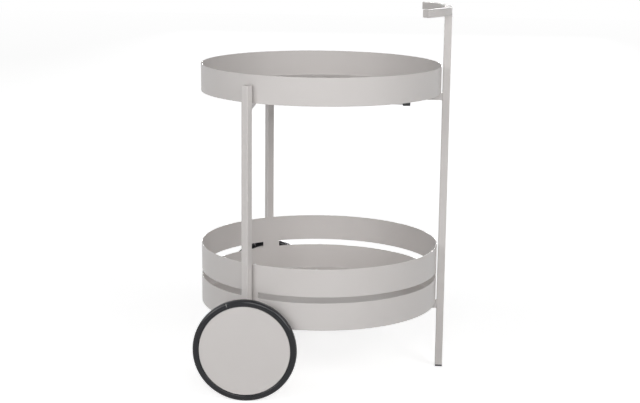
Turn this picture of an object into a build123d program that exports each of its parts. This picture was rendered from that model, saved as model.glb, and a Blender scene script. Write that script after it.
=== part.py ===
from build123d import *
import math
import os

# Round serving cart: two round trays in a three-legged frame of square tube, two wheels and a handle.
# +Z is up and the floor is z = 0. +X points from the wheels to the handle, and the axles lie along Y.

# Trays
tray_radius = 240.0
tray_sheet = 1.5
tray_height = 54.0
rim_round = 0.5
lower_tray_z = 140.0
upper_tray_z = 570.0
gallery_gap = 12.0
gallery_height = 54.0
bridge_width = 38.0

# Square tube of the frame
tube = 15.0
tube_wall = 1.5
tube_corner = 1.5
closing_plate = 1.5

# Frame layout
leg_gap = 2.5
leg_step_deg = 120.0
wheel_leg_rise = 34.5
wheel_leg_below_axle = 18.0
handle_height = 741.0
bow_radius = 158.5
bow_half_angle = 44.0
rail_offset = 76.0
bearer_inset = 68.0
bearer_half_length = 100.0

# Plastic plugs and the foot
plug_fit = 0.1
plug_depth = 14.0
plug_head = 3.0
foot_height = 4.0
plug_edge = 0.8

# Screws that hold the lower tray to its rails
screw_radius = 2.5
screw_head_radius = 4.75
screw_head_height = 2.75
screw_head_round = 1.8
screw_socket = 3.0
screw_socket_depth = 1.6
screw_length = 12.0
screw_clearance = 0.25
screw_thread_gap = 0.05
screw_inset = 40.0

# Wheels
wheel_radius = 100.0
wheel_clearance = 0.5
tyre_width = 16.0
tyre_depth = 12.0
tyre_round = 7.5
tyre_inner_round = 1.0
tongue_width = 7.0
tongue_depth = 3.0
tyre_fit = 0.1
face_sheet = 1.5
face_recess = 1.0
face_edge = 0.6
face_margin = 0.5

# Axles and bearings
journal_radius = 5.0
collar_radius = 8.0
bush_wall = 2.0
bush_flange = 1.5
bush_flange_radius = 11.0
bush_gap = 0.2
journal_clearance = 0.05
washer_thickness = 1.0
washer_radius = 10.0
running_gap = 0.2
ring_thickness = 1.2
ring_radius = 8.5
ring_groove_depth = 0.8
ring_mouth = 7.0
axle_tip = 0.6
hub_recess_radius = 13.5

# Values that follow from the sizes above
leg_circle = tray_radius + leg_gap + tube / 2
handle_reach = leg_circle + tube / 2
tray_axis_x = -(handle_reach - tray_radius) / 2
leg_angle = {"handle": 0.0, "rear": leg_step_deg, "front": -leg_step_deg}
wheel_leg_x = leg_circle * math.cos(math.radians(leg_step_deg))
wheel_leg_y = leg_circle * math.sin(math.radians(leg_step_deg))
wheel_leg_top = upper_tray_z + wheel_leg_rise
wheel_leg_bottom = wheel_radius - wheel_leg_below_axle
bow_bottom = handle_height - tube
bore = tube - 2 * tube_wall
bore_corner = max(tube_corner - tube_wall, 0.2)
tray_axis = Pos(tray_axis_x, 0, 0)
bearer_x = tray_radius - bearer_inset
rail_start = wheel_leg_x + tube / 2
rail_end = bearer_x - tube / 2

# Stations along an axle, measured outwards from the middle of its leg
tyre_start = tray_radius + wheel_clearance - wheel_leg_y
tyre_end = tyre_start + tyre_width
inner_face_start = tyre_start + face_recess
core_start = inner_face_start + face_sheet
core_end = tyre_end - face_recess - face_sheet
tyre_seat = wheel_radius - tyre_depth
inner_flange_start = inner_face_start - bush_flange
collar_end = inner_flange_start - running_gap - washer_thickness
axle_end = core_end - running_gap
ring_end = axle_end - axle_tip
ring_start = ring_end - ring_thickness
outer_flange_end = ring_start - washer_thickness - running_gap
hub_floor = outer_flange_end - bush_flange
bush_sleeve = (hub_floor - inner_face_start - bush_gap) / 2
bush_bore = journal_radius + journal_clearance
bush_radius = bush_bore + bush_wall
groove_radius = journal_radius - ring_groove_depth


def square(size, corner):
    """Square section with round corners."""
    return RectangleRounded(size, size, corner)


def tube_section():
    """Hollow section of the frame's square tube."""
    return square(tube, tube_corner) - square(bore, bore_corner)


def square_tube(length):
    """Square tube that stands on the origin."""
    return extrude(tube_section(), amount=length)


def upright(leg, low, high):
    """Tube of one leg, with a flat side towards the tray axis."""
    return leg_place(leg, low) * square_tube(high - low)


def leg_place(leg, z):
    """Place on a leg's centre line at height z."""
    return tray_axis * Rot(0, 0, leg_angle[leg]) * Pos(leg_circle, 0, z)


def leg_prism(leg):
    """Outside of a wheel leg as a filled bar, for shaping the ends that are welded to it."""
    return leg_place(leg, 0) * extrude(square(tube, tube_corner), amount=wheel_leg_top)


def tube_along_x(start, end, y, top):
    """Level tube along X with its upper side at height top."""
    return tray_axis * Pos(start, y, top - tube / 2) * Rot(0, 90, 0) * square_tube(end - start)


def tube_along_y(half_length, x, top):
    """Level tube along Y with its upper side at height top."""
    return tray_axis * Pos(x, -half_length, top - tube / 2) * Rot(-90, 0, 0) * square_tube(2 * half_length)


def plug(head):
    """Plastic plug: a shank up into the tube and a head with eased edges below its end."""
    cap = extrude(square(tube, tube_corner), amount=-head)
    cap = fillet(cap.faces().sort_by(Axis.Z)[0].edges(), min(plug_edge, head / 3))
    shank = extrude(square(bore - 2 * plug_fit, bore_corner), amount=plug_depth)
    return cap + shank


def ring(outer, inner, start, end):
    """Flat ring about Z between two stations."""
    return Pos(0, 0, start) * extrude(Circle(outer) - Circle(inner), amount=end - start)


def disc(radius, start, end):
    """Plain disc about Z between two stations."""
    return Pos(0, 0, start) * extrude(Circle(radius), amount=end - start)


def wall_band(low, high):
    """Rolled sheet band of the trays, with its upper and lower edges eased."""
    band = ring(tray_radius, tray_radius - tray_sheet, low, high)
    return tray_axis * fillet(band.edges(), rim_round)


def tray_floor(z):
    """Round floor sheet inside a tray's wall, with its upper edge eased."""
    floor = disc(tray_radius - tray_sheet, z, z + tray_sheet)
    return tray_axis * fillet(floor.faces().sort_by(Axis.Z)[-1].edges(), rim_round)


def tray_wall(z):
    """Wall around a tray's floor sheet, down to the floor's underside."""
    return wall_band(z, z + tray_height)


def wheel_leg(leg):
    """Leg on the wheel side, between its bottom plug and its top plate."""
    return upright(leg, wheel_leg_bottom + plug_head, wheel_leg_top - closing_plate)


def bow_section():
    """Hollow section of the bow, standing at the bow's radius."""
    return Plane.XZ * (Pos(bow_radius, 0) * tube_section())


def bow_place():
    """Centre of the bow's arc, so that the bow's outside lines up with the handle leg's."""
    return tray_axis * Pos(leg_circle - bow_radius, 0, handle_height - tube / 2)


def bow_end_plate(side):
    """Plate on one end of the bow: side is 1 at the rear and -1 at the front."""
    plate = extrude(Plane.XZ * square(tube, tube_corner), amount=-side * closing_plate)
    return bow_place() * Rot(0, 0, side * bow_half_angle) * Pos(bow_radius, 0, 0) * plate


def frame_tier(tier, top):
    """Tubes and plugs that carry one tray."""
    cross = tube_along_y(wheel_leg_y, wheel_leg_x, top)
    nodes[tier + "_cross_tube"] = cross - leg_prism("front") - leg_prism("rear")
    nodes[tier + "_front_rail"] = tube_along_x(rail_start, rail_end, -rail_offset, top)
    nodes[tier + "_rear_rail"] = tube_along_x(rail_start, rail_end, rail_offset, top)
    bearer_tube = bearer_half_length - plug_head
    nodes[tier + "_bearer"] = tube_along_y(bearer_tube, bearer_x, top)
    end = tray_axis * Pos(bearer_x, 0, top - tube / 2)
    front_plug = end * Pos(0, -bearer_tube, 0) * Rot(-90, 0, 0) * plug(plug_head)
    rear_plug = end * Pos(0, bearer_tube, 0) * Rot(90, 0, 0) * plug(plug_head)
    nodes[tier + "_bearer_plugs"] = Compound(children=[front_plug, rear_plug])
    arm_start = bearer_x + tube / 2
    nodes[tier + "_arm"] = tube_along_x(arm_start, leg_circle - tube / 2, 0, top)


def screw_places():
    """Where the lower tray is screwed to its rails, on top of the floor sheet."""
    floor_top = lower_tray_z + tray_sheet
    stations = (rail_start + screw_inset, rail_end - screw_inset)
    sides = (-rail_offset, rail_offset)
    return [tray_axis * Pos(x, y, floor_top) for y in sides for x in stations]


def tray_screw():
    """Button-head screw with a hexagon socket; its shank points down."""
    head = disc(screw_head_radius, 0, screw_head_height)
    head = fillet(head.faces().sort_by(Axis.Z)[-1].edges(), screw_head_round)
    socket_face = Pos(0, 0, screw_head_height) * RegularPolygon(screw_socket / 2, 6, major_radius=False)
    socket = extrude(socket_face, amount=-screw_socket_depth)
    return head + disc(screw_radius, -screw_length, 0) - socket


def screw_holes(radius):
    """Holes for the tray screws."""
    return [place * disc(radius, -2 * tray_sheet - 2 * tube_wall, tray_sheet) for place in screw_places()]


def wheel_tyre():
    """Rubber ring with round shoulders and a tongue that sits in the core's groove."""
    section = Pos(wheel_radius - tyre_depth / 2, (tyre_start + tyre_end) / 2) * Rectangle(tyre_depth, tyre_width)
    shoulders = section.vertices().group_by(Axis.X)[-1]
    section = fillet(shoulders, tyre_round)
    heel = section.vertices().group_by(Axis.X)[0]
    section = fillet(heel, tyre_inner_round)
    middle = (tyre_start + tyre_end) / 2
    tongue = ring(wheel_radius - tyre_depth / 2, tyre_seat - tongue_depth, middle - tongue_width / 2,
                  middle + tongue_width / 2)
    return revolve(Plane.XZ * section, axis=Axis.Z) + tongue


def wheel_core():
    """Solid disc with a groove for the tyre, a bore for the bushes and a recess for the axle's end."""
    middle = (tyre_start + tyre_end) / 2
    half_groove = tongue_width / 2 + tyre_fit
    groove = ring(wheel_radius, tyre_seat - tongue_depth - tyre_fit, middle - half_groove, middle + half_groove)
    core = ring(tyre_seat - tyre_fit, bush_radius, core_start, core_end)
    return core - groove - disc(hub_recess_radius, hub_floor, core_end)


def wheel_outer_face():
    """Plain sheet disc that closes the outside of the wheel."""
    face = disc(tyre_seat - face_margin, core_end, core_end + face_sheet)
    return fillet(face.faces().sort_by(Axis.Z)[-1].edges(), face_edge)


def wheel_inner_face():
    """Sheet disc on the leg's side, with a hole for the bush."""
    face = ring(tyre_seat - face_margin, bush_radius, inner_face_start, core_start)
    rim = face.edges().group_by(SortBy.LENGTH)[-1].sort_by(Axis.Z)[0]
    return fillet(rim, face_edge)


def wheel_bushes():
    """Flanged plain bushes, one from each side of the hub."""
    inner = ring(bush_flange_radius, bush_bore, inner_flange_start, inner_face_start)
    inner = inner + ring(bush_radius, bush_bore, inner_face_start, inner_face_start + bush_sleeve)
    outer = ring(bush_flange_radius, bush_bore, hub_floor, outer_flange_end)
    outer = outer + ring(bush_radius, bush_bore, hub_floor - bush_sleeve, hub_floor)
    return [inner, outer]


def axle_stub():
    """Turned stub: a collar that is welded to the leg, a journal and a groove for the ring."""
    stub = disc(collar_radius, 0, collar_end) + disc(journal_radius, collar_end, axle_end)
    return stub - ring(collar_radius, groove_radius, ring_start, ring_end)


def axle_washers():
    """Thrust washers on both sides of the hub."""
    hole = journal_radius + journal_clearance
    inner = ring(washer_radius, hole, collar_end, collar_end + washer_thickness)
    outer = ring(washer_radius, hole, ring_start - washer_thickness, ring_start)
    return [inner, outer]


def axle_retaining_ring():
    """Open spring ring in the groove at the axle's end."""
    clip = ring(ring_radius, groove_radius, ring_start, ring_end)
    mouth = Pos(ring_radius, 0, (ring_start + ring_end) / 2) * Box(2 * ring_radius, ring_mouth, ring_thickness)
    return clip - mouth


def wheel_set(leg, turn):
    """All pieces of one wheel and its axle; turn points the local Z axis outwards."""
    place = tray_axis * Pos(wheel_leg_x, math.copysign(wheel_leg_y, leg_angle[leg]), wheel_radius) * Rot(turn, 0, 0)
    nodes[leg + "_wheel_core"] = place * wheel_core()
    nodes[leg + "_wheel_outer_face"] = place * wheel_outer_face()
    nodes[leg + "_wheel_inner_face"] = place * wheel_inner_face()
    nodes[leg + "_wheel_tyre"] = place * wheel_tyre()
    nodes[leg + "_wheel_bushes"] = Compound(children=[place * bush for bush in wheel_bushes()])
    nodes[leg + "_axle_stub"] = place * axle_stub() - leg_prism(leg)
    nodes[leg + "_axle_washers"] = Compound(children=[place * washer for washer in axle_washers()])
    nodes[leg + "_axle_retaining_ring"] = place * axle_retaining_ring()


nodes = {}

# Legs and handle
nodes["handle_leg"] = upright("handle", foot_height, bow_bottom)
nodes["front_wheel_leg"] = wheel_leg("front")
nodes["rear_wheel_leg"] = wheel_leg("rear")
top_plate = extrude(square(tube, tube_corner), amount=-closing_plate)
nodes["wheel_leg_top_plates"] = Compound(
    children=[leg_place(leg, wheel_leg_top) * top_plate for leg in ("front", "rear")]
)
nodes["wheel_leg_plugs"] = Compound(
    children=[leg_place(leg, wheel_leg_bottom + plug_head) * plug(plug_head) for leg in ("front", "rear")]
)
nodes["handle_leg_foot"] = leg_place("handle", foot_height) * plug(foot_height)
bow_arc = revolve(bow_section(), axis=Axis.Z, revolution_arc=2 * bow_half_angle)
nodes["handle_bow"] = bow_place() * Rot(0, 0, -bow_half_angle) * bow_arc
nodes["handle_bow_end_plates"] = Compound(children=[bow_end_plate(-1), bow_end_plate(1)])

# Tubes under the trays
frame_tier("upper", upper_tray_z)
frame_tier("lower", lower_tray_z)
for rail in ("lower_front_rail", "lower_rear_rail"):
    for hole in screw_holes(screw_radius + screw_thread_gap):
        nodes[rail] = nodes[rail] - hole

# Trays
nodes["upper_tray_floor"] = tray_floor(upper_tray_z)
nodes["upper_tray_wall"] = tray_wall(upper_tray_z)
lower_floor = tray_floor(lower_tray_z)
for hole in screw_holes(screw_radius + screw_clearance):
    lower_floor = lower_floor - hole
nodes["lower_tray_floor"] = lower_floor
nodes["lower_tray_wall"] = tray_wall(lower_tray_z)
gallery_z = lower_tray_z + tray_height + gallery_gap
nodes["lower_gallery_band"] = wall_band(gallery_z, gallery_z + gallery_height)
gap_ring = ring(tray_radius, tray_radius - tray_sheet, gallery_z - gallery_gap, gallery_z)
bridge_block = Pos(tray_radius, 0, gallery_z - gallery_gap / 2) * Box(tray_radius, bridge_width, gallery_gap)
bridges = [tray_axis * (gap_ring & (Rot(0, 0, angle) * bridge_block)) for angle in leg_angle.values()]
nodes["lower_gallery_bridges"] = Compound(children=bridges)
nodes["lower_tray_screws"] = Compound(children=[place * tray_screw() for place in screw_places()])

# Wheels
wheel_set("front", 90)
wheel_set("rear", -90)

os.makedirs("parts", exist_ok=True)
for name, shape in nodes.items():
    export_step(shape, "parts/" + name + ".step")
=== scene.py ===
# %% [markdown]
# # A round serving cart
# The cart arrives as a frame of CAD pieces that already have their real size and place. This lesson
# dresses it: rounded sheet and tube, weld beads, rubber, plastic, a powder coat that catches soft light,
# and a camera that looks at it the way a catalogue does. Every length of the cart is read from the frame or
# is a small detail with its own name, in metres.

# %% Load the frame
import math
import bmesh
import bpy
from mathutils import Matrix, Vector


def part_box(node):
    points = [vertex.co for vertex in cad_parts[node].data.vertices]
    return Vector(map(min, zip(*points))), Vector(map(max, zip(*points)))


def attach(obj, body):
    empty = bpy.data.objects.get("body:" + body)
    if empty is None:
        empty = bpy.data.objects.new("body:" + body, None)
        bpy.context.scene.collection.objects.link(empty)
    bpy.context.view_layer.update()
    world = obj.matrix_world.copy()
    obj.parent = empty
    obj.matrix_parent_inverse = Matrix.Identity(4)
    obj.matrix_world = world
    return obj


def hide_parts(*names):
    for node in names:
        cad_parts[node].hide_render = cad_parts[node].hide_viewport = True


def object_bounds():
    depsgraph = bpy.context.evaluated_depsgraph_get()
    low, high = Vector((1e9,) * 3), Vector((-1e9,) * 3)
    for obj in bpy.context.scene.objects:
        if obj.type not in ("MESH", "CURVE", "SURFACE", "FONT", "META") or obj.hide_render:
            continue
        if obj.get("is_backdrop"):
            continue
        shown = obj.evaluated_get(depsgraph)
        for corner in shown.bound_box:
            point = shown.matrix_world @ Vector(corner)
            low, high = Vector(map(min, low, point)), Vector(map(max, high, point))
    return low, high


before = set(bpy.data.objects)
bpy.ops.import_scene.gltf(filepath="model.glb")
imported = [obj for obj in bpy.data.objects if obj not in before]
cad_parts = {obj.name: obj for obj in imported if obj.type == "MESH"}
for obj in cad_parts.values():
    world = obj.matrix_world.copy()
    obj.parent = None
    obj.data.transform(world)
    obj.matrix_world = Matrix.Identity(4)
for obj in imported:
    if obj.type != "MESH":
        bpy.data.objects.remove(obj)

cad_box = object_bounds()
scene = bpy.context.scene
print("pieces in the frame:", len(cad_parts))

# %% [markdown]
# ## Sizes from the frame
# A maker measures the parts on the bench before making anything that has to fit them. Sizes could be
# typed in again, but then they would drift apart. Each one here is the span of a CAD piece, so a frame with
# a wider tray or a bigger wheel dresses itself.

# %% Measure the frame
def span(node):
    """Length, depth and height of a CAD piece."""
    low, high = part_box(node)
    return high - low


def middle(node):
    """Middle of a CAD piece's box."""
    low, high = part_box(node)
    return (low + high) / 2


tube = span("handle_leg").x
sheet = span("upper_tray_floor").z
tray_radius = span("lower_gallery_band").y / 2
tray_axis = Vector((middle("lower_gallery_band").x, 0, 0))
wheel_radius = span("front_wheel_tyre").x / 2
for name, width in (("tray", 2 * tray_radius), ("wheel", 2 * wheel_radius), ("tube", tube)):
    print(f"{name} {1000 * width:.0f} mm across")

# %% [markdown]
# ## A wire that does sums
# Node trees read badly when every sum is a node of its own. This small class wraps an output socket, so
# that `1 - mask` or `grain * 0.2 + 0.4` adds its Math nodes, and its one method `node` adds any other
# kind: settings first, then values or links for the sockets.

# %% The wire class
class Wire:
    """An output socket in a shader or geometry tree."""

    def __init__(self, tree, socket=None):
        self.tree = tree
        self.socket = socket

    def node(self, kind, settings=None, inputs=None, output=0):
        """Adds a node and returns the wire from one of its outputs."""
        made = self.tree.nodes.new(kind)
        for name, value in (settings or {}).items():
            setattr(made, name, value)
        for key, value in (inputs or {}).items():
            if isinstance(value, Wire):
                self.tree.links.new(value.socket, made.inputs[key])
            else:
                made.inputs[key].default_value = value
        return Wire(self.tree, made.outputs[output] if made.outputs else None)

    def maths(self, operation, first, second=0.0):
        """Adds a Math node."""
        return self.node("ShaderNodeMath", {"operation": operation}, {0: first, 1: second})

    def __add__(self, other):
        return self.maths("ADD", self, other)

    def __sub__(self, other):
        return self.maths("SUBTRACT", self, other)

    def __rsub__(self, other):
        return self.maths("SUBTRACT", other, self)

    def __mul__(self, other):
        return self.maths("MULTIPLY", self, other)

    def __truediv__(self, other):
        return self.maths("DIVIDE", self, other)

    def __rtruediv__(self, other):
        return self.maths("DIVIDE", other, self)

    __radd__ = __add__
    __rmul__ = __mul__


def beside(wire, output):
    """Another output of the node that a wire comes from."""
    return Wire(wire.tree, wire.socket.node.outputs[output])


print("wires ready")

# %% [markdown]
# ## Words for finishes
# A finish is described with the same few words again and again: noise for what is uneven, a blend of two
# colours, a bump for relief too fine to model, and one Principled shader at the end. Each word is a short
# function, so a finish further down reads as a recipe and not as a list of nodes.

# %% Helpers for finishes
def new_finish(name):
    """An empty material; returns it with a wire to build with."""
    finish = bpy.data.materials.new(name)
    finish.use_nodes = True
    finish.node_tree.nodes.clear()
    return finish, Wire(finish.node_tree)


def noise(wire, place, scale, detail=2.0, roughness=0.5):
    """Plain noise from 0 to 1; scale counts waves in a metre."""
    sizes = {"Vector": place, "Scale": scale, "Detail": detail, "Roughness": roughness}
    return wire.node("ShaderNodeTexNoise", {"noise_dimensions": "3D"}, sizes)


def blend(wire, share, first, second):
    """Mixes two colours by a share from 0 to 1; a Mix node's colours are inputs 6 and 7, and output 2."""
    mix = {"data_type": "RGBA", "clamp_factor": True}
    return wire.node("ShaderNodeMix", mix, {"Factor": share, 6: first, 7: second}, output=2)


def bump(wire, height, strength, distance):
    """Relief for the Normal socket; distance is its depth in metres."""
    return wire.node("ShaderNodeBump", inputs={"Strength": strength, "Distance": distance, "Height": height})


def close_finish(wire, sockets):
    """Ends a material in one Principled shader."""
    shader = wire.node("ShaderNodeBsdfPrincipled", inputs=sockets)
    wire.node("ShaderNodeOutputMaterial", inputs={"Surface": shader})


print("finish helpers ready")

# %% [markdown]
# ## Powder coat
# The sheet and tube are sprayed with dry powder and baked. Up close the coat is a satin skin with a soft
# orange peel about a millimetre across and a far finer grain, and its tone drifts a little from place to
# place. An image texture would stretch over the bent tube, so the skin is made of noise in Object
# coordinates: two sizes of noise feed one bump, and a slow noise moves the tone and the gloss.

# %% Powder coat finish
coat_level = 0.66
coat_roughness = 0.32
frame_peel_depth = 0.00004
tray_peel_depth = 0.00005
green_share = 0.65


def warm_grey(level, warmth):
    """A grey, made warmer by taking a little from green and more from blue."""
    return (level, level * (1 - green_share * warmth), level * (1 - warmth), 1)


def powder_coat(name, peel_depth):
    """Satin coat over metal: tone drift, orange peel and fine grain."""
    finish, wire = new_finish(name)
    place = wire.node("ShaderNodeTexCoord", output="Object")
    drift = noise(wire, place, scale=9.0, detail=3.0)
    peel = noise(wire, place, scale=850.0, detail=1.5)
    grain = noise(wire, place, scale=4200.0, detail=1.0)
    deep = warm_grey(coat_level * 0.975, warmth=0.075)
    pale = warm_grey(coat_level * 1.02, warmth=0.06)
    speck = warm_grey(coat_level * 0.72, warmth=0.08)
    tone = blend(wire, drift, deep, pale)
    speckled = blend(wire, grain * 0.10, tone, speck)
    skin = bump(wire, peel * 0.75 + grain * 0.25, strength=0.35, distance=peel_depth)
    roughness = coat_roughness + drift * 0.06 + grain * 0.04
    sockets = {"Base Color": speckled, "Roughness": roughness, "Normal": skin, "Specular IOR Level": 0.45}
    close_finish(wire, sockets)
    return finish


frame_coat = powder_coat("frame_powder_coat", frame_peel_depth)
tray_coat = powder_coat("tray_powder_coat", tray_peel_depth)
wheel_coat = powder_coat("wheel_powder_coat", frame_peel_depth)
print("powder coats:", frame_coat.name, tray_coat.name, wheel_coat.name)

# %% [markdown]
# ## Tyre rubber
# A tyre is a ring of smooth black rubber, glossy on its sides and a little dusty where it rolls. It is
# joined from a straight length, and over the joint a painted highlight, a pale glint, runs from the middle
# of the side out to the shoulder. A painted picture would need a UV map. Here the distance from the axle
# and the angle about it, both worked out from Object coordinates, say where the dust and the painted glint
# lie.

# %% Rubber finish
seam_angle = math.radians(111)
# painted highlight: these sizes place the pale glint over the butt seam, in metres
glint_half_width = 0.0008
glint_core = 0.0003
glint_start = 0.0085
glint_full = 0.0060
tread_start = 0.0022
tread_full = 0.0002
moulding_waves = 5200.0
rubber_relief = 0.00005
rubber_roughness = 0.11
rubber_dark = (0.0035, 0.0042, 0.0068, 1)
rubber_light = (0.006, 0.0068, 0.010, 1)
dust_colour = (0.07, 0.068, 0.064, 1)
# painted highlight: the colour of the glint over the butt seam
glint_colour = (0.34, 0.34, 0.33, 1)


def ramp(wire, value, start, end):
    """Rises from 0 to 1 while a value goes from start to end."""
    stretch = {"Value": value, "From Min": start, "From Max": end}
    return wire.node("ShaderNodeMapRange", {"clamp": True}, stretch)


def tyre_rubber(name, hub):
    """Black rubber with faint moulding rings, a dusty tread and a painted highlight, a pale glint, over the
    butt seam.
    """
    finish, wire = new_finish(name)
    place = wire.node("ShaderNodeTexCoord", output="Object")
    from_hub = wire.node("ShaderNodeVectorMath", {"operation": "SUBTRACT"}, {0: place, 1: hub})
    flat = wire.node("ShaderNodeVectorMath", {"operation": "MULTIPLY"}, {0: from_hub, 1: (1, 0, 1)})
    radius = wire.node("ShaderNodeVectorMath", {"operation": "LENGTH"}, {0: flat}, output="Value")
    across = wire.node("ShaderNodeSeparateXYZ", inputs={0: from_hub})
    angle = wire.maths("ARCTAN2", beside(across, "Z"), across)
    rings = wire.maths("SINE", radius * moulding_waves)
    grain = noise(wire, place, scale=2600.0, detail=2.0)
    smear = noise(wire, place, scale=34.0, detail=4.0, roughness=0.6)
    tread = ramp(wire, radius, wheel_radius - tread_start, wheel_radius - tread_full)
    # painted highlight: a pale strip across the butt seam, faded out at the tread, stands in for light
    # caught on the seam
    apart = wire.maths("ABSOLUTE", angle - seam_angle) * radius
    glint_strip = ramp(wire, apart, glint_half_width, glint_core)
    glint_band = ramp(wire, radius, wheel_radius - glint_start, wheel_radius - glint_full)
    seam_glint = glint_strip * glint_band * (1 - tread)
    tone = blend(wire, smear, rubber_dark, rubber_light)
    worn = blend(wire, tread * smear * 0.15, tone, dust_colour)
    glinted_rubber = blend(wire, seam_glint * (0.7 + grain * 0.3), worn, glint_colour)
    skin = bump(wire, grain * 0.3 + rings * 0.10, strength=0.2, distance=rubber_relief)
    roughness = rubber_roughness + smear * 0.06 + tread * 0.2 + seam_glint * 0.3
    sockets = {"Base Color": glinted_rubber, "Roughness": roughness, "Normal": skin, "Specular IOR Level": 0.38}
    close_finish(wire, sockets)
    return finish


wheel_finish = {}
for side in ("front", "rear"):
    wheel_finish[side] = tyre_rubber(side + "_tyre_rubber", middle(side + "_wheel_tyre"))
    print("rubber:", wheel_finish[side].name)

# %% [markdown]
# ## Plastic and steel
# The plugs and the foot are moulded plastic, and a spark-eroded mould leaves a fine even grain on them.
# The axles, washers and screws are bright steel with fine turning lines. Noise gives both once more: even
# for the grain, slow for the bloom on it, and squeezed along the axle for the lines. So all of it bakes
# well.

# %% Plastic and steel finishes
plastic_relief = 0.00005
steel_relief = 0.00003
steel_roughness = 0.26
turning_waves = (120.0, 5200.0, 120.0)


def moulded_plastic(name, dark, light, base_roughness):
    """Plastic from a spark-eroded mould: fine even grain and a slight bloom."""
    finish, wire = new_finish(name)
    place = wire.node("ShaderNodeTexCoord", output="Object")
    grain = noise(wire, place, scale=3200.0, detail=1.5)
    bloom = noise(wire, place, scale=120.0, detail=3.0)
    tone = blend(wire, bloom, dark, light)
    skin = bump(wire, grain, strength=0.35, distance=plastic_relief)
    roughness = base_roughness + bloom * 0.12
    close_finish(wire, {"Base Color": tone, "Roughness": roughness, "Normal": skin})
    return finish


def bright_steel(name, tint):
    """Plated steel with short turning lines across the axle's length."""
    finish, wire = new_finish(name)
    place = wire.node("ShaderNodeTexCoord", output="Object")
    squeezed = wire.node("ShaderNodeMapping", inputs={"Vector": place, "Scale": turning_waves})
    lines = noise(wire, squeezed, scale=1.0, detail=2.0)
    cloud = noise(wire, place, scale=160.0, detail=3.0)
    shaded = tuple(0.86 * part for part in tint[:3]) + (1,)
    tone = blend(wire, cloud, tint, shaded)
    skin = bump(wire, lines, strength=0.25, distance=steel_relief)
    roughness = steel_roughness + cloud * 0.16
    close_finish(wire, {"Base Color": tone, "Roughness": roughness, "Metallic": 1.0, "Normal": skin})
    return finish


plug_plastic = moulded_plastic("black_plug_plastic", (0.022, 0.022, 0.024, 1), (0.038, 0.038, 0.04, 1), 0.42)
foot_plastic = moulded_plastic("grey_foot_plastic", (0.075, 0.075, 0.08, 1), (0.11, 0.11, 0.115, 1), 0.46)
core_plastic = moulded_plastic("wheel_core_plastic", (0.19, 0.19, 0.19, 1), (0.22, 0.22, 0.22, 1), 0.5)
bush_plastic = moulded_plastic("bearing_plastic", (0.66, 0.64, 0.58, 1), (0.74, 0.72, 0.66, 1), 0.36)
axle_steel = bright_steel("turned_steel", (0.62, 0.62, 0.63, 1))
screw_steel = bright_steel("zinc_plated_steel", (0.60, 0.61, 0.62, 1))
print("finishes made:", len(bpy.data.materials))

# %% [markdown]
# ## Growing meshes with Geometry Nodes
# Sheet bands, tubes and weld beads all follow the same rule: a section swept along a path. Modelled by
# hand, each would be a mesh of its own to keep in step with the frame. A node tree says the rule once,
# with a named input for each size, so another band is only another set of numbers.

# %% Helpers for geometry trees
round_steps = 6


def geometry_tree(name, sizes):
    """Starts a tree: a Path input, one input for each size, and a wire for every input."""
    tree = bpy.data.node_groups.new(name, "GeometryNodeTree")
    tree.interface.new_socket("Path", in_out="INPUT", socket_type="NodeSocketGeometry")
    for label, kind in sizes.items():
        tree.interface.new_socket(label, in_out="INPUT", socket_type="NodeSocket" + kind)
    tree.interface.new_socket("Mesh", in_out="OUTPUT", socket_type="NodeSocketGeometry")
    entry = tree.nodes.new("NodeGroupInput")
    return Wire(tree), {socket.name: Wire(tree, socket) for socket in entry.outputs if socket.name}


def rounded_section(wire, width, height, corner):
    """Rectangle with round corners, as a curve to sweep."""
    sizes = {"Width": width, "Height": height}
    plain = wire.node("GeometryNodeCurvePrimitiveQuadrilateral", {"mode": "RECTANGLE"}, sizes)
    rounding = {"Curve": plain, "Count": round_steps, "Radius": corner, "Limit Radius": True}
    return wire.node("GeometryNodeFilletCurve", {"mode": "POLY"}, rounding)


def end_tree(wire, geometry, finish):
    """Closes a tree: real geometry with its finish."""
    real = wire.node("GeometryNodeRealizeInstances", inputs={"Geometry": geometry})
    coated = wire.node("GeometryNodeSetMaterial", inputs={"Geometry": real, "Material": finish})
    last = wire.tree.nodes.new("NodeGroupOutput")
    wire.tree.links.new(coated.socket, last.inputs[0])
    return wire.tree


print("tree helpers ready")

# %% [markdown]
# ## From a tree to a finished piece
# `grow` runs a tree with real sizes, keeps the result as a plain mesh at the origin, and takes the
# modifier off again, so the export sees only mesh. Smooth shading alone would bleed from a round corner
# into the flat beside it and make the sheet look padded. So the edges where the two meet are marked: they
# bend half as far as the edges within the round. `settle` then gives the piece its body and hides the CAD
# piece that it stands for.

# %% Grow, shade and settle
arc_angle = math.radians(90) / round_steps
flat_edge_from = 0.3 * arc_angle
flat_edge_to = 0.75 * arc_angle
sharp_from = 2 * arc_angle


def keep_flats_flat(mesh):
    """Marks the edges where a flat meets its rounded corner, and the truly sharp ones."""
    shape = bmesh.new()
    shape.from_mesh(mesh)
    for edge in shape.edges:
        angle = edge.calc_face_angle(0.0)
        edge.smooth = not (flat_edge_from < angle < flat_edge_to or angle > sharp_from)
    for face in shape.faces:
        face.smooth = True
    shape.to_mesh(mesh)
    shape.free()


def grow(name, tree, sizes, path=None):
    """Runs a tree and keeps its result as a plain mesh object."""
    holder = bpy.data.objects.new(name + "_path", path or bpy.data.meshes.new(name))
    scene.collection.objects.link(holder)
    step = holder.modifiers.new(name, "NODES")
    step.node_group = tree
    for item in tree.interface.items_tree:
        if item.in_out == "INPUT" and item.name in sizes:
            step[item.identifier] = sizes[item.name]
    bpy.context.view_layer.update()
    mesh = bpy.data.meshes.new_from_object(holder.evaluated_get(bpy.context.evaluated_depsgraph_get()))
    holder.modifiers.clear()
    bpy.data.objects.remove(holder)
    keep_flats_flat(mesh)
    mesh.name = name
    piece = bpy.data.objects.new(name, mesh)
    scene.collection.objects.link(piece)
    return piece


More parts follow.
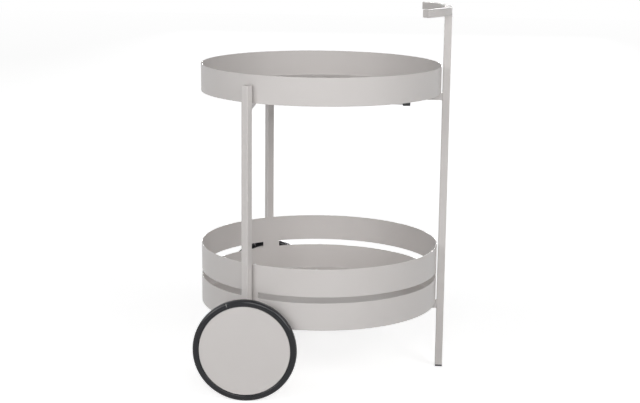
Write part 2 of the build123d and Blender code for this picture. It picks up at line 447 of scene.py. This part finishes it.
def settle(piece, body, slot, *nodes):
    """Gives a finished piece its body and hides the CAD pieces it stands for; the slot argument is not used.
    """
    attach(piece, body)
    if nodes:
        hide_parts(*nodes)
    return piece


print(f"corners are rounded in {round_steps} steps of {math.degrees(arc_angle):.0f} degrees")

# %% [markdown]
# ## Tray walls and the gallery band
# Each wall is a strip of sheet steel, rolled into a ring, with its long edges eased so that they don't
# cut. A tray wall's lower outer edge is rounder, because the seam of the floor is dressed there before
# the coat goes on. A scaled cylinder would have knife edges, so the tree sweeps a rounded strip section
# round a circle. The lower tray has a second ring above a narrow gap, which the same tree makes from
# other sizes.

# %% Rolled bands
band_steps = 240
sheet_edge = 0.00045
floor_edge = 0.0010
band_sizes = {"Radius": "Float", "Height": "Float", "Sheet": "Float", "Edge": "Float", "Lower Edge": "Float"}
wire, size = geometry_tree("rolled_band", {**band_sizes, "Place": "Vector", "Finish": "Material"})
middle_radius = size["Radius"] - size["Sheet"] * 0.5
circle_sizes = {"Resolution": band_steps, "Radius": middle_radius}
circle = wire.node("GeometryNodeCurvePrimitiveCircle", inputs=circle_sizes)
across = wire.node("ShaderNodeSeparateXYZ", inputs={0: wire.node("GeometryNodeInputPosition")})
outer_low = wire.maths("GREATER_THAN", across, 0.0) * wire.maths("LESS_THAN", beside(across, "Y"), 0.0)
edge = size["Edge"] + outer_low * (size["Lower Edge"] - size["Edge"])
strip = rounded_section(wire, size["Sheet"], size["Height"], edge)
swept = wire.node("GeometryNodeCurveToMesh", inputs={"Curve": circle, "Profile Curve": strip})
placed = wire.node("GeometryNodeTransform", inputs={"Geometry": swept, "Translation": size["Place"]})
rolled_band = end_tree(wire, placed, size["Finish"])


def roll_band(name, node, body, lower_edge):
    """Rolls the wall that stands for one CAD band."""
    sizes = {"Radius": tray_radius, "Height": span(node).z, "Sheet": sheet}
    edges = {"Edge": sheet_edge, "Lower Edge": lower_edge}
    place = tray_axis + Vector((0, 0, middle(node).z))
    piece = grow(name, rolled_band, {**sizes, **edges, "Place": place, "Finish": tray_coat})
    return settle(piece, body, "tray_coat", node)


upper_wall = roll_band("upper_tray_rolled_wall", "upper_tray_wall", "upper_tray", floor_edge)
lower_wall = roll_band("lower_tray_rolled_wall", "lower_tray_wall", "frame", floor_edge)
gallery = roll_band("lower_gallery_rolled_band", "lower_gallery_band", "frame", sheet_edge)
for piece in (upper_wall, lower_wall, gallery):
    print(piece.name, len(piece.data.polygons), "faces")

# %% [markdown]
# ## Turned pieces
# A tray's floor, a wheel's face and a tyre are all round about one axis. A lathe would cut them from an
# outline, and so does this helper: it spins a few points of radius and height, with the corners that need
# it eased. Blender's Spin tool does this by hand in Edit Mode; a loop over rings does the same in a script.

# %% A small lathe
spin_steps = 192
on_axis = 1e-7


def eased(outline, radii):
    """Rounds the corners of an outline; one radius for each point, 0 for a corner that stays sharp."""
    points = []
    for index, (corner, radius) in enumerate(zip(outline, radii)):
        here = Vector(corner)
        if radius == 0:
            points.append(here)
            continue
        back = (Vector(outline[index - 1]) - here).normalized()
        ahead = (Vector(outline[(index + 1) % len(outline)]) - here).normalized()
        half = back.angle(ahead) / 2
        centre = here + (back + ahead).normalized() * radius / math.sin(half)
        start = here + back * radius / math.tan(half) - centre
        sweep = math.copysign(math.pi - 2 * half, ahead.cross(back))
        for step in range(round_steps + 1):
            points.append(centre + Matrix.Rotation(sweep * step / round_steps, 2) @ start)
    return points


def turned(name, outline, centre, axis, finish, steps=spin_steps):
    """Spins an outline of radius and height about the Y or Z axis through a centre."""
    shape = bmesh.new()
    rings = []
    for radius, height in outline:
        count = 1 if radius < on_axis else steps
        ring = []
        for step in range(count):
            angle = 2 * math.pi * step / steps
            across, along = radius * math.cos(angle), radius * math.sin(angle)
            spot = (across, height, along) if axis == "Y" else (across, along, height)
            ring.append(shape.verts.new(Vector(spot) + centre))
        rings.append(ring)
    for first, second in zip(rings, rings[1:] + rings[:1]):
        for step in range(steps):
            ahead = step + 1
            corners = [first[step % len(first)], first[ahead % len(first)]]
            corners += [second[ahead % len(second)], second[step % len(second)]]
            face = list(dict.fromkeys(corners))
            if len(face) > 2:
                shape.faces.new(face)
    bmesh.ops.recalc_face_normals(shape, faces=shape.faces)
    mesh = bpy.data.meshes.new(name)
    shape.to_mesh(mesh)
    shape.free()
    keep_flats_flat(mesh)
    mesh.materials.append(finish)
    piece = bpy.data.objects.new(name, mesh)
    scene.collection.objects.link(piece)
    return piece


print("lathe ready:", spin_steps, "steps to a turn")

# %% [markdown]
# ## Tray floors and their seams
# The floor is a plain round sheet inside the wall. It is held by a run of weld that is smoothed before
# coating, which leaves a small hollow fillet all round the inside corner. A bevel on a joined mesh could
# make that corner, but floor and wall are two pieces, so the fillet is turned as a thin ring of its own.

# %% Tray floors
seam_size = 0.0022


def tray_floor(tier, body):
    """Floor sheet with an eased upper edge, and the smoothed weld where it meets the wall."""
    node = tier + "_tray_floor"
    name = tier + "_tray_sheet"
    low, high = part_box(node)
    rim = tray_radius - sheet
    outline = [(0, low.z), (rim, low.z), (rim, high.z), (0, high.z)]
    floor = turned(name, eased(outline, (0, sheet_edge / 2, sheet_edge, 0)), tray_axis, "Z", tray_coat)
    settle(floor, body, "tray_coat", node)
    hollow = [(rim - seam_size, high.z)]
    for step in range(1, round_steps):
        angle = math.radians(90) * step / round_steps
        across = rim - seam_size * (1 - math.sin(angle))
        hollow.append((across, high.z + seam_size * (1 - math.cos(angle))))
    hollow += [(rim, high.z + seam_size), (rim, high.z - sheet_edge), (rim - seam_size, high.z - sheet_edge)]
    seam = turned(name + "_seam", hollow, tray_axis, "Z", tray_coat)
    return floor, settle(seam, body, "tray_coat")


for piece in tray_floor("upper", "upper_tray") + tray_floor("lower", "frame"):
    print(piece.name, len(piece.data.polygons), "faces")

# %% [markdown]
# ## Square tube
# The frame is square tube with small round corners. A cube with a Bevel modifier would do for one of
# them. Here each straight run is the same section along a line, so one tree serves them all: two ends, a
# turn about the run, and the tube's own sizes.

# %% Straight tubes
tube_corner = 0.0015
wheel_leg_turn = math.radians(120)
along_x, along_y, along_z = range(3)
run_sizes = {"Start": "Vector", "End": "Vector", "Turn": "Float", "Width": "Float", "Corner": "Float"}
wire, size = geometry_tree("square_tube_run", {**run_sizes, "Finish": "Material"})
line = wire.node("GeometryNodeCurvePrimitiveLine", inputs={"Start": size["Start"], "End": size["End"]})
turned_line = wire.node("GeometryNodeSetCurveTilt", inputs={"Curve": line, "Tilt": size["Turn"]})
square = rounded_section(wire, size["Width"], size["Width"], size["Corner"])
sweep = {"Curve": turned_line, "Profile Curve": square, "Fill Caps": True}
tube_run = end_tree(wire, wire.node("GeometryNodeCurveToMesh", inputs=sweep), size["Finish"])


def coat_tube(node, start, end, turn=0.0):
    """The coated tube that stands for one CAD tube."""
    sizes = {"Start": start, "End": end, "Turn": turn, "Width": tube, "Corner": tube_corner}
    piece = grow(node + "_coated", tube_run, {**sizes, "Finish": frame_coat})
    return settle(piece, "frame", "frame_coat", node)


def coat_along(node, axis, turn=0.0):
    """A coated tube along one axis, as long as its CAD tube."""
    low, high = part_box(node)
    start, end = middle(node), middle(node)
    start[axis], end[axis] = low[axis], high[axis]
    return coat_tube(node, start, end, turn)


coat_along("handle_leg", along_z)
coat_along("front_wheel_leg", along_z, -wheel_leg_turn)
coat_along("rear_wheel_leg", along_z, wheel_leg_turn)
for tier in ("upper", "lower"):
    coat_along(tier + "_front_rail", along_x)
    coat_along(tier + "_rear_rail", along_x)
    coat_along(tier + "_arm", along_x)
    coat_along(tier + "_bearer", along_y)
    cross = middle(tier + "_cross_tube")
    front_end = Vector((cross.x, middle("front_wheel_leg").y, cross.z))
    rear_end = Vector((cross.x, middle("rear_wheel_leg").y, cross.z))
    coat_tube(tier + "_cross_tube", front_end, rear_end)

# %% [markdown]
# ## The handle bow
# The bow is a length of the same tube, bent flat to an arc and welded on top of the handle leg. A bending
# modifier on a straight tube would need the tube's length before the bend, so the tree sweeps the section
# along an arc instead. The bow's outside lines up with the leg's, which gives the centre of the arc.

# %% Bent bars
arc_steps = 65
bar_sizes = {"Radius": "Float", "Start Angle": "Float", "Sweep Angle": "Float", "Width": "Float"}
bar_sizes.update({"Height": "Float", "Corner": "Float", "Place": "Vector", "Finish": "Material"})
wire, size = geometry_tree("bent_bar", bar_sizes)
bend = {"Resolution": arc_steps, "Radius": size["Radius"]}
bend.update({"Start Angle": size["Start Angle"], "Sweep Angle": size["Sweep Angle"]})
arc = wire.node("GeometryNodeCurveArc", {"mode": "RADIUS"}, bend)
bar = rounded_section(wire, size["Width"], size["Height"], size["Corner"])
swept = wire.node("GeometryNodeCurveToMesh", inputs={"Curve": arc, "Profile Curve": bar, "Fill Caps": True})
placed = wire.node("GeometryNodeTransform", inputs={"Geometry": swept, "Translation": size["Place"]})
bent_bar = end_tree(wire, placed, size["Finish"])
print("bent bar tree:", len(bent_bar.nodes), "nodes")

# %% Handle bow
bow_half_angle = math.radians(44)
bow_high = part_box("handle_bow")[1]
bow_outside = bow_high.y / math.sin(bow_half_angle)
bow_radius = bow_outside - tube / 2
bow_centre = Vector((bow_high.x - bow_outside, 0, middle("handle_bow").z))
bow_sizes = {"Radius": bow_radius, "Start Angle": -bow_half_angle, "Sweep Angle": 2 * bow_half_angle}
bow_sizes.update({"Width": tube, "Height": tube, "Corner": tube_corner})
bow_sizes.update({"Place": bow_centre, "Finish": frame_coat})
settle(grow("handle_bow_coated", bent_bar, bow_sizes), "frame", "frame_coat", "handle_bow")
print(f"bow bent to {1000 * bow_radius:.1f} mm over {2 * math.degrees(bow_half_angle):.0f} degrees")

# %% [markdown]
# ## The gallery's bridges
# Three short strips of sheet, one at each leg, carry the gallery band above the lower tray's wall. They
# follow the tray's circle, so the tree of the bow makes them too, from a flat section. Each one reaches
# over the eased edges of both bands, which leaves one smooth face there, as on the coated cart.

# %% Gallery bridges
gap_low, gap_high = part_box("lower_gallery_bridges")
bridge_corners = [corner.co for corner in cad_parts["lower_gallery_bridges"].data.vertices]
bridge_width = 2 * max(corner.y for corner in bridge_corners if corner.x > tray_axis.x + tray_radius / 2)
bridge_sweep = bridge_width / tray_radius
bridge_place = tray_axis + Vector((0, 0, (gap_low.z + gap_high.z) / 2))
bridge_height = gap_high.z - gap_low.z + 2 * sheet_edge
bridge_sizes = {"Radius": tray_radius - sheet / 2, "Sweep Angle": bridge_sweep}
bridge_sizes.update({"Width": sheet, "Height": bridge_height, "Corner": 0.0})
bridge_sizes.update({"Place": bridge_place, "Finish": tray_coat})
for leg, angle in (("handle", 0.0), ("rear", wheel_leg_turn), ("front", -wheel_leg_turn)):
    start = {"Start Angle": angle - bridge_sweep / 2}
    bridge = grow(leg + "_gallery_bridge", bent_bar, {**bridge_sizes, **start})
    settle(bridge, "frame", "tray_coat", "lower_gallery_bridges")
    print(f"{bridge.name} {1000 * bridge_width:.0f} mm wide")

# %% [markdown]
# ## Weld beads
# Where two tubes meet, a welder leaves a short bead with a ripple for each pulse of the torch, and the
# coat goes over it. A row of small spheres could stand for the ripples, but it would look like a chain.
# So a tree sweeps a round section along the joint, and its radius swells and shrinks along the run and
# fades at both ends.

# %% Weld bead tree
bead_radius = 0.0013
bead_sides = 10
bead_seed = 3.0
ripple_pitch = 0.0015
ripple_swell = 0.10
ripple_step = 0.2
unevenness = 0.25
uneven_waves = 700.0
end_rise = 9.0
end_thickness = 0.25
bead_sizes = {"Bead": "Float", "Pitch": "Float", "Unevenness": "Float", "Seed": "Float"}
wire, size = geometry_tree("weld_bead", {**bead_sizes, "Finish": "Material"})
spacing = size["Pitch"] * ripple_step
fine = wire.node("GeometryNodeResampleCurve", {"mode": "LENGTH"}, {"Curve": size["Path"], "Length": spacing})
along = wire.node("GeometryNodeSplineParameter", output="Length")
share = wire.node("GeometryNodeSplineParameter", output="Factor")
ripple = wire.maths("SINE", along * (2 * math.pi) / size["Pitch"])
uneven = {"W": size["Seed"], "Scale": uneven_waves}
wander = wire.node("ShaderNodeTexNoise", {"noise_dimensions": "4D"}, uneven)
from_end = wire.maths("MINIMUM", share, 1 - share)
fade = wire.maths("MINIMUM", from_end * end_rise + end_thickness, 1.0)
swell = (1 + ripple * ripple_swell + (wander - 0.5) * size["Unevenness"]) * fade
bead_line = wire.node("GeometryNodeSetCurveRadius", inputs={"Curve": fine, "Radius": swell})
ring_sizes = {"Resolution": bead_sides, "Radius": size["Bead"]}
ring = wire.node("GeometryNodeCurvePrimitiveCircle", inputs=ring_sizes)
sweep = {"Curve": bead_line, "Profile Curve": ring, "Scale": swell, "Fill Caps": True}
weld_bead = end_tree(wire, wire.node("GeometryNodeCurveToMesh", inputs=sweep), size["Finish"])
print("weld tree:", len(weld_bead.nodes), "nodes")

# %% [markdown]
# ## Where the frame is welded
# Rails and arms meet the cross pieces squarely, so they have a bead up each side. A cross tube runs into
# a leg that is turned, so its bead goes down one side, under the tube along two faces of the leg, and up
# the other side. Drawn by hand these lines would come loose when a size changes, so they are worked out
# from the tubes' boxes.

# %% Weld paths
half_tube = tube / 2


def side_beads(node, station):
    """Two upright runs beside the end of a tube along X."""
    low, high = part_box(node)
    bottom, top = low.z + tube_corner, high.z - tube_corner
    return [[Vector((station, y, bottom)), Vector((station, y, top))] for y in (low.y, high.y)]


def leg_wrap(leg, side, tier):
    """The bead round the end of a cross tube, where it meets a turned leg; side is 1 at the rear."""
    low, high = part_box(tier + "_cross_tube")
    centre = middle(leg)
    inward = Vector((-math.cos(wheel_leg_turn), -side * math.sin(wheel_leg_turn)))
    sideways = Vector((math.sin(wheel_leg_turn), -side * math.cos(wheel_leg_turn)))
    corner = (inward - sideways) * half_tube
    right = Vector((half_tube, (inward.x * half_tube - half_tube) / -inward.y))
    left = Vector((-half_tube, (sideways.x * half_tube - half_tube) / sideways.y))
    plan = [right, right, corner, left, left]
    top = high.z - tube_corner
    levels = [top, low.z, low.z, low.z, top]
    return [Vector((centre.x + at.x, centre.y + at.y, level)) for at, level in zip(plan, levels)]


runs = []
for tier in ("upper", "lower"):
    for rail in ("_front_rail", "_rear_rail"):
        low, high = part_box(tier + rail)
        runs += side_beads(tier + rail, low.x) + side_beads(tier + rail, high.x)
    low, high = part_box(tier + "_arm")
    runs += side_beads(tier + "_arm", low.x)
    under_arm = [Vector((high.x, y, low.z)) for y in (low.y + tube_corner, high.y - tube_corner)]
    runs.append(under_arm)
    runs.append(leg_wrap("front_wheel_leg", -1, tier))
    runs.append(leg_wrap("rear_wheel_leg", 1, tier))
low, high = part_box("handle_leg")
for y in (low.y, high.y):
    under_bow = [Vector((x, y, high.z)) for x in (low.x + tube_corner, high.x - tube_corner)]
    runs.append(under_bow)
print("weld runs:", len(runs))

# %% [markdown]
# ## Laying the beads
# Each run becomes one straight-sided spline, and the curve that holds them all is the tree's path. The
# beads belong to the same body and wear the same coat, so they stay one piece.

# %% Weld beads
path = bpy.data.curves.new("weld_paths", "CURVE")
path.dimensions = "3D"
for run in runs:
    spline = path.splines.new("POLY")
    spline.points.add(len(run) - 1)
    for point, spot in zip(spline.points, run):
        point.co = (*spot, 1)
bead_settings = {"Bead": bead_radius, "Pitch": ripple_pitch, "Unevenness": unevenness, "Seed": bead_seed}
beads = grow("frame_weld_beads", weld_bead, {**bead_settings, "Finish": frame_coat}, path)
settle(beads, "frame", "frame_coat")
print(beads.name, len(beads.data.polygons), "faces")

# %% [markdown]
# ## Wheel faces
# A wheel shows a plain sheet disc on each side, and the inner one has a hole for the bush. The disc lies
# a little deeper than the tyre's side, and its eased outer edge catches a thin line of light. A flat
# cylinder would show no such line, so the lathe turns the disc with that edge rounded.

# %% Wheel faces
face_edge = 0.0008
bush_hole = 0.0072


def wheel_face(side, node, outward, hole):
    """Sheet disc of a wheel with an eased outer edge; hole is the radius left for a bush."""
    low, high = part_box(node)
    rim = span(node).x / 2
    inside, outside = (low.y, high.y) if outward > 0 else (high.y, low.y)
    hub = middle(side + "_wheel_tyre")
    base = Vector((hub.x, 0, hub.z))
    outline = [(hole, inside), (rim, inside), (rim, outside), (hole, outside)]
    piece = turned(node + "_coated", eased(outline, (0, 0, face_edge, 0)), base, "Y", wheel_coat)
    return settle(piece, side + "_wheel", "wheel_coat", node)


for side, outward in (("front", -1), ("rear", 1)):
    outer = wheel_face(side, side + "_wheel_outer_face", outward, 0.0)
    inner = wheel_face(side, side + "_wheel_inner_face", -outward, bush_hole)
    print(outer.name, "and", inner.name)

# %% [markdown]
# ## Tyres
# A tyre is a rubber ring with round shoulders, cut from a straight length and joined, so it has one butt
# seam. A dark stripe alone would leave the outline whole. So the ring is turned in many steps, and the
# points near the seam are drawn in a little towards the middle of the section, which makes a shallow
# groove.

# %% Tyres
tyre_shoulder = 0.0052
tyre_heel = 0.0030
tyre_seat_gap = 0.0003
tyre_steps = 720
groove_half_width = 0.0012
groove_depth = 0.0004


def tyre(side):
    """Rubber ring with round shoulders and one butt seam."""
    node = side + "_wheel_tyre"
    low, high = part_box(node)
    hub = middle(node)
    base = Vector((hub.x, 0, hub.z))
    heel = span(side + "_wheel_outer_face").x / 2 + tyre_seat_gap
    outline = [(heel, low.y), (wheel_radius, low.y), (wheel_radius, high.y), (heel, high.y)]
    radii = (tyre_heel, tyre_shoulder, tyre_shoulder, tyre_heel)
    rounded = eased(outline, radii)
    ring = turned(side + "_rubber_tyre", rounded, base, "Y", wheel_finish[side], steps=tyre_steps)
    section_middle = (wheel_radius + heel) / 2
    for vertex in ring.data.vertices:
        from_hub = Vector((vertex.co.x - hub.x, vertex.co.z - hub.z))
        apart = abs(math.atan2(from_hub.y, from_hub.x) - seam_angle) * wheel_radius
        if apart < groove_half_width:
            sink = groove_depth * (1 - apart / groove_half_width)
            section = Vector((from_hub.length - section_middle, vertex.co.y - hub.y))
            drawn = section * (1 - sink / section.length)
            reach = drawn.x + section_middle
            vertex.co.x = hub.x + from_hub.x * reach / from_hub.length
            vertex.co.z = hub.z + from_hub.y * reach / from_hub.length
            vertex.co.y = hub.y + drawn.y
    return settle(ring, side + "_wheel", "tyre_rubber", node)


for side in ("front", "rear"):
    print(tyre(side).name, "seam at", round(math.degrees(seam_angle)), "degrees")

# %% [markdown]
# ## Finishes on the remaining CAD pieces
# Plates, plugs, bushes, axles and screws are right as they are. Modelling them again would add nothing,
# so they keep their CAD meshes and only get a finish in their material slots.

# %% Dress the CAD pieces
cad_finish = {
    "wheel_leg_top_plates": frame_coat,
    "handle_bow_end_plates": frame_coat,
    "wheel_leg_plugs": plug_plastic,
    "upper_bearer_plugs": plug_plastic,
    "lower_bearer_plugs": plug_plastic,
    "handle_leg_foot": foot_plastic,
    "lower_tray_screws": screw_steel,
}
for side in ("front", "rear"):
    cad_finish[side + "_wheel_core"] = core_plastic
    cad_finish[side + "_wheel_bushes"] = bush_plastic
    for part in ("_axle_stub", "_axle_washers", "_axle_retaining_ring"):
        cad_finish[side + part] = axle_steel
for name, finish in cad_finish.items():
    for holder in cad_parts[name].material_slots:
        holder.material = finish
print("CAD pieces dressed:", len(cad_finish))

# %% [markdown]
# ## Studio
# A catalogue cart stands on white. Strong lamps could burn a grey floor out to white, and the cart with
# it. So the floor is pale paper that takes the cart's shadow, with a glow that only the camera sees, or
# what gloss and glass send on. The glow is weaker near the cart, where the lamps shine, so that glow and
# lamp light add up to white. The world is white to the same rays and nearly dark to all others.

# %% Floor
floor_half = 9.0
paper_grey = 0.8
lamp_share = 0.35
share_fall = 0.2
white = (1, 1, 1, 1)
corners = [(-floor_half, -floor_half, 0), (floor_half, -floor_half, 0)]
corners += [(floor_half, floor_half, 0), (-floor_half, floor_half, 0)]
floor_mesh = bpy.data.meshes.new("studio_floor")
floor_mesh.from_pydata(corners, [], [(0, 1, 2, 3)])
floor = bpy.data.objects.new("studio_floor", floor_mesh)
scene.collection.objects.link(floor)
floor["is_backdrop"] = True


def seen_directly(wire):
    """1 for rays from the camera and for those that gloss or glass sends on."""
    direct = wire.node("ShaderNodeLightPath", output="Is Camera Ray")
    glossy = beside(direct, "Is Glossy Ray")
    through = beside(direct, "Is Transmission Ray")
    return wire.maths("MINIMUM", direct + glossy + through, 1.0)


floor_finish, wire = new_finish("studio_floor_paper")
paper = wire.node("ShaderNodeBsdfDiffuse", inputs={"Color": (paper_grey, paper_grey, paper_grey, 1)})
place = wire.node("ShaderNodeTexCoord", output="Object")
away = wire.node("ShaderNodeVectorMath", {"operation": "LENGTH"}, {0: place}, output="Value")
reach = away * share_fall
lift = 1 - lamp_share / (1 + reach + reach * reach)
glow = wire.node("ShaderNodeEmission", inputs={"Color": white, "Strength": seen_directly(wire) * lift})
both = wire.node("ShaderNodeAddShader", inputs={0: paper, 1: glow})
wire.node("ShaderNodeOutputMaterial", inputs={"Surface": both})
floor_mesh.materials.append(floor_finish)
print(f"floor {2 * floor_half:.0f} m wide")

# %% World
ambient = 0.05
world = bpy.data.worlds.new("studio_white")
scene.world = world
world.use_nodes = True
world.node_tree.nodes.clear()
wire = Wire(world.node_tree)
level = ambient + seen_directly(wire) * (1 - ambient)
sky = wire.node("ShaderNodeBackground", inputs={"Color": white, "Strength": level})
wire.node("ShaderNodeOutputWorld", inputs={"Surface": sky})
print("world:", world.name)

# %% [markdown]
# ## Lamps
# The photograph is brightest where the sheet faces the viewer, so three soft boxes stand in front: one
# near the camera and one to each side. A high one behind the cart lights the tray floors. A low one far
# behind, with a grid that keeps its light narrow, lights the cart's back. One lamp would be simpler, but it
# would leave the other sides dark.

# %% Lamps
cart_middle = (0, 0, 0.4)
grid_angle = math.radians(40)


def soft_lamp(name, place, size, power, aim=cart_middle):
    """A square soft box that faces a point; size in metres, power in watts."""
    lamp = bpy.data.lights.new(name, "AREA")
    lamp.shape = "SQUARE"
    lamp.size = size
    lamp.energy = power
    holder = bpy.data.objects.new(name, lamp)
    holder.location = place
    holder.rotation_euler = (Vector(aim) - Vector(place)).to_track_quat("-Z", "Y").to_euler()
    scene.collection.objects.link(holder)
    return lamp


soft_lamp("front_soft_box", place=(0.2, -3.4, 1.6), size=1.4, power=28)
soft_lamp("left_soft_box", place=(-2.4, -2.3, 1.7), size=1.9, power=44)
soft_lamp("right_soft_box", place=(2.4, -2.3, 1.7), size=1.9, power=46)
soft_lamp("overhead_soft_box", place=(0.0, 3.2, 2.9), size=1.6, power=17)
rear = soft_lamp("rear_soft_box", place=(0.0, 8.0, 0.6), size=3.0, power=20, aim=(0, 0, 0.6))
rear.shape = "RECTANGLE"
rear.size_y = 0.9
rear.spread = grid_angle
print("lamps:", len(bpy.data.lights))

# %% [markdown]
# ## Camera
# The photograph was taken with a long lens from just above the handle, a little to the right of the
# axles. Placing a camera by eye takes many tries. This place and these angles, in radians, come from
# lining up tray rims, legs and wheels in that picture with the same edges here. The lens isn't shifted,
# so the legs lean a little.

# %% Camera
camera_distance = 2.8817
camera_height = 0.9494
camera_aside = 0.0003
camera_turn = 0.063
camera_pitch = 0.208
camera_roll = 0.011
lens_length = 81.3
sensor_width = 36
camera = bpy.data.cameras.new("catalogue_camera")
camera.lens = lens_length
camera.sensor_width = sensor_width
eye = bpy.data.objects.new("catalogue_camera", camera)
turn = Matrix.Rotation(camera_turn, 4, "Z")
tilt = Matrix.Rotation(math.radians(90) - camera_pitch, 4, "X")
roll = Matrix.Rotation(camera_roll, 4, "Z")
stand = tray_axis + turn @ Vector((camera_aside, -camera_distance, camera_height))
eye.matrix_world = Matrix.Translation(stand) @ turn @ tilt @ roll
scene.collection.objects.link(eye)
scene.camera = eye
scene.view_settings.view_transform = "Standard"
print("camera at", [round(value, 3) for value in stand])

# %% Compare the sizes and finish
boxes = {"cad": cad_box, "visual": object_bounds()}
for name, (low, high) in boxes.items():
    print(name, "box in millimetres:", [round(1000 * (end - start), 1) for start, end in zip(low, high)])
